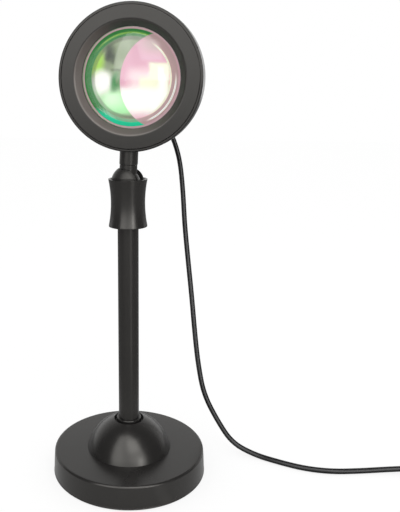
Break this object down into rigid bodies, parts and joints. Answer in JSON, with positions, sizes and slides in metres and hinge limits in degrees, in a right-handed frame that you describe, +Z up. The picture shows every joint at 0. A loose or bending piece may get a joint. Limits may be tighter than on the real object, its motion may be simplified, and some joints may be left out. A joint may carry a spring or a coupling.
{
  "type": "sunset projection lamp",
  "caption": "Sunset projection lamp: round weighted base, domed cap, straight pole, notched ball joint and a round head with a glass lens, on a USB lead with a switch.",
  "frame": {"origin": "on the table, at the middle of the round base", "axes": "+Z up along the pole; the lens looks towards -Y; the joint's notch opens 9 degrees from +X towards -Y"},
  "size_m": [0.366, 0.156, 0.3052],
  "materials": {
    "satin_black_steel": "satin charcoal powder coat",
    "satin_black_aluminium": "satin charcoal powder coat",
    "cast_iron": "rough cast",
    "zinc_steel": "zinc plated",
    "polished_ball": "black oxide",
    "foam": "matt foam rubber",
    "black_rubber": "satin rubber",
    "black_plastic": "fine matt moulding",
    "nylon": "plain nylon",
    "lens_glass": "clear, coated",
    "filter_glass": "dichroic coating",
    "circuit_board": "white solder mask",
    "lamp_phosphor": "yellow phosphor",
    "bare_aluminium": "cast, bare"
  },
  "bodies": {
    "base": {"base_shell": "satin_black_steel", "base_weight": "cast_iron", "base_plate": "satin_black_steel", "base_screws": "zinc_steel", "foot_pad": "foam", "dome_cap": "satin_black_steel", "dome_ring": "satin_black_steel", "root_bush": "zinc_steel", "threaded_rod": "zinc_steel", "rod_washer": "zinc_steel", "rod_nut": "zinc_steel", "pole_tube": "satin_black_steel", "joint_collar": "satin_black_steel", "joint_socket": "satin_black_steel", "socket_plug": "zinc_steel", "ball_seat": "nylon", "seat_spring": "zinc_steel", "cord_lower": "black_rubber", "cord_link": "black_rubber", "cord_coil": "black_rubber", "cord_tail": "black_rubber", "switch_top": "black_plastic", "switch_bottom": "black_plastic", "switch_board": "circuit_board", "switch_sleeves": "black_rubber", "usb_grip": "black_plastic", "usb_shell": "zinc_steel", "usb_tongue": "nylon"},
    "stem": {"ball_stud": "polished_ball", "neck_nut": "zinc_steel", "neck_washer": "zinc_steel", "cord_upper": "black_rubber"},
    "head": {"neck_tube": "satin_black_steel", "rear_housing": "satin_black_aluminium", "front_bezel": "satin_black_aluminium", "lens": "lens_glass", "lens_retainer": "satin_black_aluminium", "colour_filter": "filter_glass", "light_cone": "satin_black_aluminium", "lamp_board": "circuit_board", "lamp_chip": "lamp_phosphor", "board_screws": "zinc_steel", "heat_sink": "bare_aluminium", "spacer_posts": "zinc_steel", "sink_screws": "zinc_steel", "driver_board": "circuit_board", "cable_gland": "black_rubber"},
    "button": {"switch_button": "black_plastic"}
  },
  "joints": [
    {"name": "head_tilt", "type": "hinge", "parent": "base", "child": "stem", "pos_m": [0, 0, 0.1953], "axis": [0.1564, 0.9877, 0], "range_deg": [-2.6, 47.4], "deforming": ["cord_upper", "cord_lower"]},
    {"name": "head_spin", "type": "hinge", "parent": "stem", "child": "head", "pos_m": [0, 0, 0.1953], "axis": [0.0448, -0.0071, 0.999], "range_deg": [-180, 180], "deforming": ["cord_upper"]},
    {"name": "switch_press", "type": "slide", "parent": "base", "child": "button", "axis": [0, 0, -1], "range_m": [0, 0.001], "stiffness_N_per_m": 250, "springref_m": -0.0005}
  ]
}
